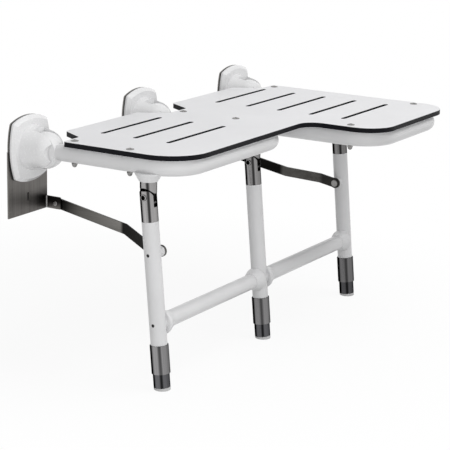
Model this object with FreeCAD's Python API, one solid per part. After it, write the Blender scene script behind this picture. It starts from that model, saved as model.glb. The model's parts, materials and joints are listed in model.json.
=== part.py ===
import FreeCAD, Part
import math
import os

# Fold down wall seat. All sizes are in millimetres.
# X runs along the wall, -Y points out from the wall, +Z is up.
# The origin is on the wall, at the middle hinge and at the height of the hinge axis.

Vector = FreeCAD.Vector

# Hinges on the wall
hinge_spacing = 399.0
hinge_reach = 50.0
hinge_pin_diameter = 12.0
hinge_pin_chamfer = 1.0
bush_wall = 2.0
bush_flange = 0.6
bush_flange_lip = 3.0
bush_gap = 1.0
knuckle_width = 34.0
knuckle_radius = 38.0
knuckle_reach = 33.0
knuckle_turn_clearance = 0.8
bracket_thickness = 3.0
ear_thickness = 5.0
ear_radius = 15.0
arm_side_clearance = 0.8

# Wall plates behind the hinges
wall_plate_thickness = 3.0
wall_plate_half_width = 64.0
wall_plate_drop = 138.0
wall_plate_slot_width = 5.0
wall_plate_slot_length = 18.0
wall_plate_slot_height = -102.5
lug_length = 39.0
lug_height = 26.0
lug_corner_radius = 3.0

# Outline of the hinge flange, about the hinge
flange_top = 68.0
flange_shoulder_height = 56.0
flange_shoulder_half_width = 54.0
flange_side_height = 8.0
flange_side_half_width = 62.0
flange_foot_height = -59.0
flange_foot_half_width = 49.0
flange_bottom = -69.0
flange_shoulder_radius = 7.5
flange_foot_radius = 7.5
flange_least_radius = 2.0
anchor_hole_diameter = 9.0
anchor_half_width = 34.0
anchor_high = 44.0
anchor_low = -44.0

# Hinge covers
cover_thickness = 11.0
cover_bevel = 7.0
cover_wall = 3.5
cover_rim = 4.0
dome_radius = 40.0
dome_reach = 45.0
dome_rise = 2.5
dome_skirt_angle = 11.5
pocket_clearance = 0.5
underside_opening = 14.0
cheek_scoop_radius = 22.0
cheek_scoop_depth = 68.0

# Tubes of the seat frame
tube_diameter = 34.0
tube_wall = 2.0
tube_bend_radius = 70.0
spigot_length = 25.0
rail_side = 30.0
rail_wall = 2.0
rail_from_hinge = 107.0

# Seat panel
panel_thickness = 11.0
panel_face_thickness = 0.4
panel_wall_gap = 47.0
panel_overhang = 20.0
panel_short_depth = 345.0
panel_long_depth = 520.0
panel_long_width = 350.0
panel_front_radius = 88.0
panel_long_radius = 65.0
panel_inner_radius = 38.0
notch_depth = 59.0
notch_inner_half_width = 36.0
notch_outer_half_width = 70.0
notch_inner_radius = 9.0
notch_outer_radius = 10.0
notch_end_radius = 8.0
slot_width = 11.0
slot_length = 219.0
slot_pitch = 80.0
slot_first = 73.0
short_slot_centre = -196.0
short_slot_count = 3
long_slot_centre = 248.0
long_slot_count = 5

# Screws that hold the panel on its frame
screw_diameter = 6.0
screw_hole_clearance = 0.2
screw_head_diameter = 16.5
screw_head_height = 2.6
cap_nut_diameter = 12.0
cap_nut_height = 9.0
cap_nut_crown_diameter = 10.2
screw_rear_row = 71.0
screw_before_leg = 44.0
screw_from_long_front = 80.0

# Folding legs
leg_hinge_out = 299.0
leg_hinge_drop = 60.0
leg_lean = 5.5
leg_diameter = 34.0
leg_wall = 2.0
collar_top_diameter = 58.0
collar_bottom_diameter = 38.0
collar_height = 18.0
collar_rounding = 2.5
collar_above_shoulder = 13.4
tongue_top_drop = 17.6
tongue_thickness = 12.0
tongue_end = 16.5
tongue_toe_radius = 6.0
tongue_scoop_radius = 17.8
tongue_shank_diameter = 24.0
tongue_shank_gap = 3.0
fork_gap_clearance = 0.3
fork_slot_depth = 20.5
fork_ear_radius = 16.0
fork_ear_height = 12.3
fork_length = 50.0
fork_spigot = 24.0
knuckle_pin_diameter = 10.0
knuckle_head_diameter = 12.0
knuckle_sink_diameter = 13.2
knuckle_head_sink = 2.0
knuckle_head_rise = 2.0
knuckle_head_rounding = 1.0
knuckle_socket = 8.0
knuckle_socket_depth = 3.0
leg_tube_end = 322.0
grub_screw_diameter = 7.0
grub_screw_length = 4.0
grub_screw_sink = 0.8
grub_screw_socket = 4.0
grub_screw_socket_depth = 2.0
crossbar_place = 258.0
crossbar_diameter = 33.0
crossbar_wall = 2.0
crossbar_collar_start = 12.0
crossbar_collar_diameter = 54.0
crossbar_collar_length = 25.0
crossbar_collar_rounding = 4.0
crossbar_collar_end_diameter = 36.0

# Adjustable feet
sleeve_start = 300.0
sleeve_length = 59.0
sleeve_wall = 2.0
sleeve_edge_rounding = 0.8
foot_top = 341.0
foot_end = 387.5
foot_wall = 2.5
foot_disc = 5.0
foot_stud_diameter = 10.0
foot_stud_length = 41.0
foot_nut_length = 20.0
foot_tip_depth = 8.0
floor_drop = 451.0

# Swinging struts
strut_pivot_out = 27.0
strut_pivot_drop = 126.0
strut_leg_place = 116.0
strut_height = 22.0
strut_thickness = 5.0
strut_eye_diameter = 24.0
strut_bend_start = 174.0
strut_bend_end = 246.0
strut_washer = 1.0
strut_washer_diameter = 18.0
strut_pin_diameter = 10.0
strut_pin_head_diameter = 16.0
strut_pin_head_height = 3.0
strut_pin_head_rounding = 1.2
strut_rivet_tail_rounding = 1.5
strut_gap = 0.5
boss_length = 11.0
boss_diameter = 22.0

# Clearance of every turning or sliding fit, on the radius
running_clearance = 0.05

# Reach of a cutting shape: clear of a face it cuts through, and longer than anything it cuts
cut_margin = 1.0
far = 200.0

# Places worked out from the sizes above
tube_radius = tube_diameter / 2
leg_radius = leg_diameter / 2
hinge_places = [-hinge_spacing, 0.0, hinge_spacing]
side_names = ["left", "middle", "right"]
bracket_face = -(wall_plate_thickness + bracket_thickness)
cover_face = bracket_face - cover_thickness
slot_half_width = tube_radius + arm_side_clearance
arm_start = -(hinge_reach + knuckle_reach)
panel_bottom = tube_radius
panel_top = panel_bottom + panel_thickness
panel_side = hinge_spacing + panel_overhang
panel_back = -panel_wall_gap
panel_short_front = panel_back - panel_short_depth
panel_long_front = panel_back - panel_long_depth
panel_step = panel_side - panel_long_width
short_loop_front = panel_short_front + panel_overhang
long_loop_front = panel_long_front + panel_overhang
long_loop_side = panel_step + panel_overhang
rail_out = -(hinge_reach + rail_from_hinge)
lean_angle = math.radians(leg_lean)
leg_direction = Vector(0, -math.sin(lean_angle), -math.cos(lean_angle))
tongue_shoulder = -leg_hinge_drop + tongue_top_drop
collar_bottom = tongue_shoulder + collar_above_shoulder
collar_top = collar_bottom + collar_height
lug_face = wall_plate_half_width
strut_wall_inner = lug_face + strut_washer
boss_face = leg_radius + boss_length
strut_leg_inner = boss_face + strut_gap
leg_screw_places = [strut_leg_place, crossbar_place]


def cylinder(radius, start, end):
    axis = end - start
    return Part.makeCylinder(radius, axis.Length, start, axis)


def pipe(radius, wall, start, end):
    return cylinder(radius, start, end).cut(cylinder(radius - wall, start, end))


def cone(radius_one, radius_two, start, end):
    axis = end - start
    return Part.makeCone(radius_one, radius_two, axis.Length, start, axis)


def box(low, high):
    size = high - low
    return Part.makeBox(size.x, size.y, size.z, low)


def rounded_face(corners, height):
    """Flat face at a height from (x, y, radius) corners, each corner an arc."""
    edges = []
    ends = []
    count = len(corners)
    for index, (x, y, radius) in enumerate(corners):
        here = Vector(x, y, height)
        before = Vector(corners[index - 1][0], corners[index - 1][1], height) - here
        after = Vector(corners[(index + 1) % count][0], corners[(index + 1) % count][1], height) - here
        before.normalize()
        after.normalize()
        half_angle = before.getAngle(after) / 2
        reach = radius / math.tan(half_angle)
        middle_line = before + after
        middle_line.normalize()
        arc_middle = here + middle_line * (radius / math.sin(half_angle) - radius)
        arc = Part.Arc(here + before * reach, arc_middle, here + after * reach)
        edges.append(arc.toShape())
        ends.append((here + before * reach, here + after * reach))
    lines = []
    for index in range(count):
        start = ends[index - 1][1]
        end = ends[index][0]
        if start.distanceToPoint(end) > 1e-6:
            lines.append(Part.makeLine(start, end))
    wire = Part.Wire(Part.__sortEdges__(edges + lines))
    return Part.Face(wire)


def tube_along(points, radius, wall):
    """Round tube in the plane of the seat frame, with tangent bends at the inner points."""
    edges = []
    last = points[0]
    for index in range(1, len(points) - 1):
        here = points[index]
        before = (points[index - 1] - here).normalize()
        after = (points[index + 1] - here).normalize()
        half_angle = before.getAngle(after) / 2
        reach = tube_bend_radius / math.tan(half_angle)
        middle_line = (before + after).normalize()
        arc_middle = here + middle_line * (tube_bend_radius / math.sin(half_angle) - tube_bend_radius)
        start = here + before * reach
        end = here + after * reach
        edges.append(Part.makeLine(last, start))
        edges.append(Part.Arc(start, arc_middle, end).toShape())
        last = end
    edges.append(Part.makeLine(last, points[-1]))
    path = Part.Wire(edges)
    direction = points[1] - points[0]
    outer = Part.Face(Part.Wire(Part.makeCircle(radius, points[0], direction)))
    solid = path.makePipe(outer)
    if wall > 0:
        inner = Part.Face(Part.Wire(Part.makeCircle(radius - wall, points[0], direction)))
        solid = solid.cut(path.makePipe(inner))
    return solid


def on_leg(shape, hinge_x):
    """Turns a shape built about a leg's hinge, with the leg down -Z, to its lean and its place."""
    placed = shape.copy()
    placed.rotate(Vector(0, 0, 0), Vector(1, 0, 0), -leg_lean)
    placed.translate(Vector(hinge_x, -leg_hinge_out, -leg_hinge_drop))
    return placed


def mirrored(shape):
    return shape.mirror(Vector(0, 0, 0), Vector(1, 0, 0))


def save(name, shape):
    solids = shape.Solids
    result = solids[0] if len(solids) == 1 else Part.makeCompound(solids)
    result.exportStep("parts/" + name + ".step")


# Wall side

def flange_face(depth, inset):
    """Outline of the hinge flange, drawn upright on the wall about a hinge at X 0."""
    top = flange_top - inset
    shoulder_height = flange_shoulder_height - inset
    shoulder = flange_shoulder_half_width - inset
    side = flange_side_half_width - inset
    foot = flange_foot_half_width - inset
    foot_height = flange_foot_height + inset
    bottom = flange_bottom + inset
    right_shoulder = Vector(shoulder, depth, shoulder_height)
    left_shoulder = Vector(-shoulder, depth, shoulder_height)
    right_foot = Vector(foot, depth, foot_height)
    left_foot = Vector(-foot, depth, foot_height)
    edges = [
        Part.Arc(left_shoulder, Vector(0, depth, top), right_shoulder).toShape(),
        Part.Arc(right_shoulder, Vector(side, depth, flange_side_height), right_foot).toShape(),
        Part.Arc(right_foot, Vector(0, depth, bottom), left_foot).toShape(),
        Part.Arc(left_foot, Vector(-side, depth, flange_side_height), left_shoulder).toShape(),
    ]
    return Part.Face(Part.Wire(edges))


def flange_block(depth, thickness, inset=0.0):
    """Flange outline from a depth outwards, with rounded upright corners."""
    block = flange_face(depth, inset).extrude(Vector(0, -thickness, 0))
    shoulders = []
    feet = []
    for edge in block.Edges:
        if len(edge.Vertexes) == 2:
            line = edge.Vertexes[1].Point - edge.Vertexes[0].Point
            if abs(abs(line.y) - thickness) < 1e-6 and abs(line.x) < 1e-6 and abs(line.z) < 1e-6:
                corners = shoulders if edge.CenterOfMass.z > 0 else feet
                corners.append(edge)
    block = block.makeFillet(max(flange_shoulder_radius - inset, flange_least_radius), shoulders)
    foot_centres = [edge.CenterOfMass for edge in feet]
    feet = [
        edge for edge in block.Edges
        if any(edge.CenterOfMass.isEqual(centre, 1e-6) for centre in foot_centres)
    ]
    return block.makeFillet(max(flange_foot_radius - inset, flange_least_radius), feet)


def anchor_holes():
    """Holes for the four wall anchors, through every plate of the hinge."""
    holes = []
    for x in (-anchor_half_width, anchor_half_width):
        for z in (anchor_low, anchor_high):
            start = Vector(x, cut_margin, z)
            end = Vector(x, bracket_face - cut_margin, z)
            holes.append(cylinder(anchor_hole_diameter / 2, start, end))
    return Part.makeCompound(holes)


def wall_plate():
    """Steel plate behind an outer hinge, with the lug for the strut bent out at one edge."""
    sheet = flange_block(0, wall_plate_thickness)
    lower = box(
        Vector(-wall_plate_half_width, -wall_plate_thickness, -wall_plate_drop),
        Vector(wall_plate_half_width, 0, 0),
    )
    lug = box(
        Vector(lug_face - wall_plate_thickness, -lug_length, -wall_plate_drop),
        Vector(lug_face, 0, -wall_plate_drop + lug_height),
    )
    front_edges = []
    for edge in lug.Edges:
        middle = edge.CenterOfMass
        if abs(middle.y + lug_length) < 1e-6 and abs(middle.x - lug_face + wall_plate_thickness / 2) < 1e-6:
            front_edges.append(edge)
    lug = lug.makeFillet(lug_corner_radius, front_edges)
    plate = sheet.fuse([lower, lug]).removeSplitter()
    plate = plate.cut(anchor_holes())
    pivot = Vector(lug_face - wall_plate_thickness - cut_margin, -strut_pivot_out, -strut_pivot_drop)
    pivot_end = Vector(lug_face + cut_margin, -strut_pivot_out, -strut_pivot_drop)
    pivot_hole = cylinder(strut_pin_diameter / 2 + running_clearance, pivot, pivot_end)
    plate = plate.cut(pivot_hole)
    slot_half = (wall_plate_slot_length - wall_plate_slot_width) / 2
    slot_radius = wall_plate_slot_width / 2
    slot = box(
        Vector(-slot_radius, -wall_plate_thickness - cut_margin, wall_plate_slot_height - slot_half),
        Vector(slot_radius, cut_margin, wall_plate_slot_height + slot_half),
    )
    for z in (wall_plate_slot_height - slot_half, wall_plate_slot_height + slot_half):
        slot_start = Vector(0, cut_margin, z)
        slot_end = Vector(0, -wall_plate_thickness - cut_margin, z)
        slot = slot.fuse(cylinder(slot_radius, slot_start, slot_end))
    return plate.cut(slot)


def spacer():
    """Plain plate that brings the middle hinge as far out as the outer ones."""
    return flange_block(0, wall_plate_thickness).cut(anchor_holes())


def hinge_bracket():
    """Steel base plate with the two ears that carry the hinge pin."""
    base = flange_block(-wall_plate_thickness, bracket_thickness)
    base = base.cut(anchor_holes())
    ears = []
    for side in (-1, 1):
        inner = side * slot_half_width
        outer = side * (slot_half_width + ear_thickness)
        web = box(
            Vector(min(inner, outer), -hinge_reach, -ear_radius),
            Vector(max(inner, outer), bracket_face, ear_radius),
        )
        end = cylinder(ear_radius, Vector(inner, -hinge_reach, 0), Vector(outer, -hinge_reach, 0))
        ears.append(web.fuse(end))
    bracket = base.fuse(ears).removeSplitter()
    reach = slot_half_width + ear_thickness + cut_margin
    pin_hole = cylinder(
        hinge_pin_diameter / 2, Vector(-reach, -hinge_reach, 0), Vector(reach, -hinge_reach, 0)
    )
    return bracket.cut(pin_hole)


def hinge_pin():
    reach = slot_half_width + ear_thickness
    pin = cylinder(hinge_pin_diameter / 2, Vector(-reach, -hinge_reach, 0), Vector(reach, -hinge_reach, 0))
    return pin.makeChamfer(hinge_pin_chamfer, pin.Edges)


def dome():
    """Turned cover of the hinge: a ball in front and a cone that widens to the flange."""
    angle = math.radians(dome_skirt_angle)
    base = cover_face + cover_bevel
    skirt_end = Vector(dome_radius * math.cos(angle), -dome_reach - dome_radius * math.sin(angle), 0)
    skirt_radius = skirt_end.x + (base - skirt_end.y) * math.tan(angle)
    skirt_start = Vector(skirt_radius, base, 0)
    front = Vector(0, -dome_reach - dome_radius, 0)
    middle_angle = (angle + math.pi / 2) / 2
    ball_middle = Vector(
        dome_radius * math.cos(middle_angle), -dome_reach - dome_radius * math.sin(middle_angle), 0
    )
    edges = [
        Part.makeLine(Vector(0, base, 0), skirt_start),
        Part.makeLine(skirt_start, skirt_end),
        Part.Arc(skirt_end, ball_middle, front).toShape(),
        Part.makeLine(front, Vector(0, base, 0)),
    ]
    solid = Part.Face(Part.Wire(edges)).revolve(Vector(0, 0, 0), Vector(0, 1, 0), 360)
    solid.translate(Vector(0, 0, dome_rise))
    return solid


def arm_slot():
    """Space that the seat arm and its round end need to swing from level to upright."""
    half = slot_half_width
    swing = box(Vector(-half, -hinge_reach - far, 0), Vector(half, -hinge_reach + half, far))
    underside = box(
        Vector(-half, -hinge_reach - far, -far),
        Vector(half, -hinge_reach + underside_opening, 0),
    )
    turn_radius = knuckle_radius + knuckle_turn_clearance
    turn = cylinder(turn_radius, Vector(-half, -hinge_reach, 0), Vector(half, -hinge_reach, 0))
    return turn.fuse([swing, underside])


def hinge_cover():
    """White cover: a bevelled flange with the dome that hides the hinge, scooped beside the arm."""
    plate = flange_block(bracket_face, cover_thickness)
    front = [
        edge for edge in plate.Edges
        if all(abs(vertex.Point.y - cover_face) < 1e-6 for vertex in edge.Vertexes)
    ]
    plate = plate.makeChamfer(cover_bevel, front)
    cover = plate.fuse(dome())
    hollow = flange_block(
        bracket_face + cut_margin,
        cover_thickness - cover_wall + cut_margin,
        cover_rim + cover_bevel,
    )
    ear_reach = slot_half_width + ear_thickness + pocket_clearance
    ear_height = ear_radius + pocket_clearance
    pocket = box(
        Vector(-ear_reach, -hinge_reach, -ear_height),
        Vector(ear_reach, bracket_face + cut_margin, ear_height),
    )
    pocket_end = cylinder(
        ear_height, Vector(-ear_reach, -hinge_reach, 0), Vector(ear_reach, -hinge_reach, 0)
    )
    scoop_out = -cheek_scoop_depth - cheek_scoop_radius
    scoop = cylinder(cheek_scoop_radius, Vector(-far, scoop_out, 0), Vector(far, scoop_out, 0))
    for hole in (hollow, pocket, pocket_end, arm_slot(), scoop):
        cover = cover.cut(hole)
    return cover


# Seat

def panel_outline(height):
    notch_edge = panel_back - notch_depth
    inner = notch_inner_half_width
    outer = notch_outer_half_width
    corners = [
        (-panel_side, notch_edge, notch_end_radius),
        (-hinge_spacing + inner, notch_edge, notch_inner_radius),
        (-hinge_spacing + outer, panel_back, notch_outer_radius),
        (-outer, panel_back, notch_outer_radius),
        (-inner, notch_edge, notch_inner_radius),
        (inner, notch_edge, notch_inner_radius),
        (outer, panel_back, notch_outer_radius),
        (hinge_spacing - outer, panel_back, notch_outer_radius),
        (hinge_spacing - inner, notch_edge, notch_inner_radius),
        (panel_side, notch_edge, notch_end_radius),
        (panel_side, panel_long_front, panel_long_radius),
        (panel_step, panel_long_front, panel_long_radius),
        (panel_step, panel_short_front, panel_inner_radius),
        (-panel_side, panel_short_front, panel_front_radius),
    ]
    return rounded_face(corners, height)


def drain_slot(centre_x, centre_y):
    half = (slot_length - slot_width) / 2
    radius = slot_width / 2
    low = panel_bottom - cut_margin
    high = panel_top + cut_margin
    slot = box(
        Vector(centre_x - half, centre_y - radius, low),
        Vector(centre_x + half, centre_y + radius, high),
    )
    ends = [
        cylinder(radius, Vector(centre_x + end, centre_y, low), Vector(centre_x + end, centre_y, high))
        for end in (-half, half)
    ]
    return slot.fuse(ends)


def drain_slots():
    slots = []
    for centre_x, count in ((short_slot_centre, short_slot_count), (long_slot_centre, long_slot_count)):
        for row in range(count):
            slots.append(drain_slot(centre_x, panel_back - slot_first - row * slot_pitch))
    return Part.makeCompound(slots)


def screw_places():
    rear = -hinge_reach - screw_rear_row
    short = -leg_hinge_out + screw_before_leg
    long = panel_long_front + screw_from_long_front
    return [
        (-hinge_spacing, rear),
        (-hinge_spacing, short),
        (0.0, rear),
        (0.0, short),
        (hinge_spacing, rear),
        (hinge_spacing, long),
        (long_loop_side, long),
    ]


def screw_holes():
    radius = screw_diameter / 2 + screw_hole_clearance
    return Part.makeCompound([
        cylinder(radius, Vector(x, y, -tube_diameter), Vector(x, y, panel_top + cut_margin))
        for x, y in screw_places()
    ])


def panel_layer(low, high):
    layer = panel_outline(low).extrude(Vector(0, 0, high - low))
    return layer.cut(drain_slots()).cut(screw_holes())


def panel_screw(x, y):
    head_radius = screw_head_diameter / 2
    ball_radius = (head_radius**2 + screw_head_height**2) / (2 * screw_head_height)
    shank = cylinder(screw_diameter / 2, Vector(x, y, -tube_radius), Vector(x, y, panel_top))
    ball = Part.makeSphere(ball_radius, Vector(x, y, panel_top + screw_head_height - ball_radius))
    above = cylinder(head_radius, Vector(x, y, panel_top), Vector(x, y, panel_top + screw_head_height))
    return shank.fuse(ball.common(above))


def cap_nut(x, y):
    radius = cap_nut_diameter / 2
    top = Vector(x, y, -tube_radius)
    corners = [
        top + Vector(radius * math.cos(math.radians(angle)), radius * math.sin(math.radians(angle)), 0)
        for angle in range(0, 361, 60)
    ]
    hexagon = Part.Face(Part.makePolygon(corners))
    body = hexagon.extrude(Vector(0, 0, radius - cap_nut_height))
    crown_radius = cap_nut_crown_diameter / 2
    crown = Part.makeSphere(crown_radius, top - Vector(0, 0, cap_nut_height - crown_radius))
    below = cylinder(radius, top, top - Vector(0, 0, cap_nut_height))
    return body.fuse(crown.common(below)).removeSplitter()


def short_loop(wall):
    """Loop under the short part of the seat, from the left hinge round to the middle one."""
    points = [
        Vector(-hinge_spacing, arm_start, 0),
        Vector(-hinge_spacing, short_loop_front, 0),
        Vector(0, short_loop_front, 0),
        Vector(0, arm_start, 0),
    ]
    return tube_along(points, tube_radius, wall)


def long_loop(wall):
    """Loop under the long part of the seat, from the right hinge round to the rear rail."""
    points = [
        Vector(hinge_spacing, arm_start, 0),
        Vector(hinge_spacing, long_loop_front, 0),
        Vector(long_loop_side, long_loop_front, 0),
        Vector(long_loop_side, rail_out - rail_side / 2, 0),
    ]
    return tube_along(points, tube_radius, wall)


def rear_rail():
    """Square rail between the middle and right arms, hidden under the panel."""
    half = rail_side / 2
    inner = half - rail_wall
    outside = box(Vector(0, rail_out - half, -half), Vector(hinge_spacing, rail_out + half, half))
    inside = box(Vector(0, rail_out - inner, -inner), Vector(hinge_spacing, rail_out + inner, inner))
    rail = outside.cut(inside)
    for x in (0.0, hinge_spacing):
        front = Vector(x, rail_out - tube_diameter, 0)
        back = Vector(x, rail_out + tube_diameter, 0)
        rail = rail.cut(cylinder(tube_radius, front, back))
    return rail


def hinge_knuckle():
    """Ball end of a seat arm, flat on both sides, which turns on the hinge pin."""
    half = knuckle_width / 2
    ball = Part.makeSphere(knuckle_radius, Vector(0, -hinge_reach, 0))
    sides = box(
        Vector(-half, arm_start, -knuckle_radius),
        Vector(half, -hinge_reach + knuckle_radius, knuckle_radius),
    )
    arm_end = Vector(0, arm_start, 0)
    spigot = cylinder(tube_radius - tube_wall, arm_end, arm_end - Vector(0, spigot_length, 0))
    body = ball.common(sides).fuse(spigot).removeSplitter()
    bore_radius = hinge_pin_diameter / 2 + running_clearance + bush_wall
    bore_end = Vector(half + cut_margin, -hinge_reach, 0)
    bore_start = Vector(-half - cut_margin, -hinge_reach, 0)
    return body.cut(cylinder(bore_radius, bore_start, bore_end))


def hinge_bushes():
    """Two flanged bushes of one knuckle."""
    inner = hinge_pin_diameter / 2 + running_clearance
    outer = inner + bush_wall
    half = knuckle_width / 2
    bushes = []
    for side in (-1, 1):
        start = Vector(side * bush_gap / 2, -hinge_reach, 0)
        lip = Vector(side * half, -hinge_reach, 0)
        end = Vector(side * (half + bush_flange), -hinge_reach, 0)
        sleeve = cylinder(outer, start, end)
        flange = cylinder(outer + bush_flange_lip, lip, end)
        bushes.append(sleeve.fuse(flange).cut(cylinder(inner, start, end)))
    return bushes


def leg_collar(hinge_x):
    """White cone that is welded under a seat arm and holds the steel tongue."""
    y = -leg_hinge_out
    bottom = Vector(hinge_x, y, collar_bottom)
    top = Vector(hinge_x, y, collar_top)
    body = cone(collar_bottom_diameter / 2, collar_top_diameter / 2, bottom, top)
    rim = [edge for edge in body.Edges if abs(edge.CenterOfMass.z - collar_top) < 1e-6]
    body = body.makeFillet(collar_rounding, rim)
    shank_top = -tube_radius - tongue_shank_gap
    shank = cylinder(tongue_shank_diameter / 2, bottom, Vector(hinge_x, y, shank_top))
    loop = short_loop(0) if hinge_x <= 0 else long_loop(0)
    return body.cut(loop).cut(shank)


def leg_tongue(hinge_x):
    """Steel tongue that hangs from the collar, with the leg's hinge bore.

    Its shoulder comes down in front of the fork's round ears, and its end is round at the
    back, where the fork turns past it, with a squarer toe in front.
    """
    y = -leg_hinge_out
    pivot = Vector(hinge_x, y, -leg_hinge_drop)
    top = Vector(hinge_x, y, collar_bottom)
    reach = Vector(leg_diameter, 0, 0)
    stock = cylinder(leg_radius, top, pivot - Vector(0, 0, tongue_end + cut_margin))
    upper = box(pivot - reach - Vector(0, leg_diameter, 0), top + reach + Vector(0, leg_diameter, 0))
    end = cylinder(tongue_end, pivot - reach, pivot + reach)
    toe_edge = pivot - Vector(0, leg_radius, tongue_end)
    toe = box(toe_edge - reach, pivot + reach)
    edges = [edge for edge in toe.Edges if edge.CenterOfMass.isEqual(toe_edge, 1e-6)]
    toe = toe.makeFillet(tongue_toe_radius, edges)
    tongue = stock.common(upper.fuse([end, toe]))
    for side in (-1, 1):
        inner = pivot + Vector(side * tongue_thickness / 2, 0, 0)
        outer = pivot + Vector(side * leg_diameter, 0, 0)
        low_x = min(inner.x, outer.x)
        high_x = max(inner.x, outer.x)
        below = box(
            Vector(low_x, y - leg_diameter, pivot.z - leg_diameter),
            Vector(high_x, y + leg_diameter, pivot.z),
        )
        behind = box(Vector(low_x, y, pivot.z), Vector(high_x, y + leg_diameter, tongue_shoulder))
        scoop = cylinder(tongue_scoop_radius, inner, outer)
        for space in (below, behind, scoop):
            tongue = tongue.cut(space)
    shank_top = Vector(hinge_x, y, -tube_radius - tongue_shank_gap)
    shank = cylinder(tongue_shank_diameter / 2, top, shank_top)
    bore_radius = knuckle_pin_diameter / 2 + running_clearance
    return tongue.fuse(shank).cut(cylinder(bore_radius, pivot - reach, pivot + reach))


# Legs, built about their hinge with the leg straight down

def down(distance):
    return Vector(0, 0, -distance)


def leg_fork():
    """Steel fork at the top of a leg: two rounded ears on a solid end."""
    body = cylinder(leg_radius, down(0), down(fork_length))
    ears = cylinder(fork_ear_radius, Vector(-leg_radius, 0, 0), Vector(leg_radius, 0, 0))
    column = cylinder(leg_radius, down(-fork_ear_height), down(0))
    half = tongue_thickness / 2 + fork_gap_clearance
    gap = box(Vector(-half, -leg_diameter, -fork_slot_depth), Vector(half, leg_diameter, leg_diameter))
    spigot = cylinder(leg_radius - leg_wall, down(fork_length), down(fork_length + fork_spigot))
    fork = body.fuse([ears.common(column), spigot]).removeSplitter().cut(gap)
    bore = cylinder(knuckle_pin_diameter / 2, Vector(-leg_diameter, 0, 0), Vector(leg_diameter, 0, 0))
    sinks = [
        cylinder(
            knuckle_sink_diameter / 2,
            Vector(side * (leg_radius - knuckle_head_sink), 0, 0),
            Vector(side * leg_diameter, 0, 0),
        )
        for side in (-1, 1)
    ]
    return fork.cut(bore).cut(sinks[0]).cut(sinks[1])


def knuckle_pin():
    """Bolt of a leg's hinge, with a round socket head on each ear."""
    seat = leg_radius - knuckle_head_sink
    outer = leg_radius + knuckle_head_rise
    pin = cylinder(knuckle_pin_diameter / 2, Vector(-seat, 0, 0), Vector(seat, 0, 0))
    for side in (-1, 1):
        head = cylinder(knuckle_head_diameter / 2, Vector(side * seat, 0, 0), Vector(side * outer, 0, 0))
        rim = [edge for edge in head.Edges if abs(edge.CenterOfMass.x - side * outer) < 1e-6]
        head = head.makeFillet(knuckle_head_rounding, rim)
        floor = Vector(side * (outer - knuckle_socket_depth), 0, 0)
        socket = hexagon_prism(knuckle_socket / 2, floor, side * (knuckle_socket_depth + cut_margin))
        pin = pin.fuse(head).cut(socket)
    return pin.removeSplitter()


def hexagon_prism(radius, start, length):
    points = [
        start + Vector(0, radius * math.cos(math.radians(angle)), radius * math.sin(math.radians(angle)))
        for angle in range(0, 361, 60)
    ]
    return Part.Face(Part.makePolygon(points)).extrude(Vector(length, 0, 0))


def leg_tube(outer_side):
    """Tube of a leg, with screw holes on its outer side: -1 left, 1 right, 0 none."""
    tube = pipe(leg_radius, leg_wall, down(fork_length), down(leg_tube_end))
    if outer_side:
        for place in leg_screw_places:
            hole_end = Vector(outer_side * leg_diameter, 0, -place)
            tube = tube.cut(cylinder(grub_screw_diameter / 2, down(place), hole_end))
    return tube


def grub_screw(place, outer_side):
    start = Vector(outer_side * (leg_radius - grub_screw_sink), 0, -place)
    end = start - Vector(outer_side * grub_screw_length, 0, 0)
    screw = cylinder(grub_screw_diameter / 2, start, end)
    socket_start = start - Vector(outer_side * grub_screw_socket_depth, 0, 0)
    socket_length = outer_side * (grub_screw_socket_depth + cut_margin)
    return screw.cut(hexagon_prism(grub_screw_socket / 2, socket_start, socket_length))


def crossbar(start_x, end_x):
    """Level tube between two legs, cut to meet their round sides."""
    start = Vector(start_x, 0, -crossbar_place)
    end = Vector(end_x, 0, -crossbar_place)
    bar = pipe(crossbar_diameter / 2, crossbar_wall, start, end)
    for x in (start_x, end_x):
        bar = bar.cut(cylinder(leg_radius, Vector(x, 0, 0), Vector(x, 0, -crossbar_place - far)))
    return bar


def crossbar_collar(leg_x, side):
    """Cone where the crossbar meets a leg, with a rounded wide end."""
    centre = Vector(leg_x, 0, -crossbar_place)
    start = centre + Vector(side * crossbar_collar_start, 0, 0)
    end = start + Vector(side * crossbar_collar_length, 0, 0)
    body = cone(crossbar_collar_diameter / 2, crossbar_collar_end_diameter / 2, start, end)
    rim = [edge for edge in body.Edges if abs(edge.CenterOfMass.x - start.x) < 1e-6]
    body = body.makeFillet(crossbar_collar_rounding, rim)
    leg = cylinder(leg_radius, centre + Vector(0, 0, far), centre - Vector(0, 0, far))
    bar = cylinder(crossbar_diameter / 2, start, end)
    return body.cut(leg).cut(bar)


def strut_boss():
    """White boss on the inner side of an outer leg, where the strut bears."""
    start = Vector(0, 0, -strut_leg_place)
    end = Vector(boss_face, 0, -strut_leg_place)
    boss = cylinder(boss_diameter / 2, start, end)
    leg = cylinder(leg_radius, down(0), down(strut_leg_place + far))
    return boss.cut(leg)


def foot_sleeve():
    inner = leg_radius
    outer = leg_radius + sleeve_wall
    sleeve_end = sleeve_start + sleeve_length
    sleeve = cylinder(outer, down(sleeve_start), down(sleeve_end))
    ends = [edge for edge in sleeve.Edges if edge.Length > outer and len(edge.Vertexes) == 1]
    sleeve = sleeve.makeFillet(sleeve_edge_rounding, ends)
    return sleeve.cut(cylinder(inner, down(sleeve_start - cut_margin), down(sleeve_end + cut_margin)))


def levelling_nut():
    """Nut in the leg's end, which the foot's stud turns in."""
    start = down(leg_tube_end - foot_nut_length)
    end = down(leg_tube_end)
    plug = cylinder(leg_radius - leg_wall, start, end)
    return plug.cut(cylinder(foot_stud_diameter / 2 + running_clearance, start, end))


# Feet, built the same way

def foot_radius():
    return leg_radius - running_clearance


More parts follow.
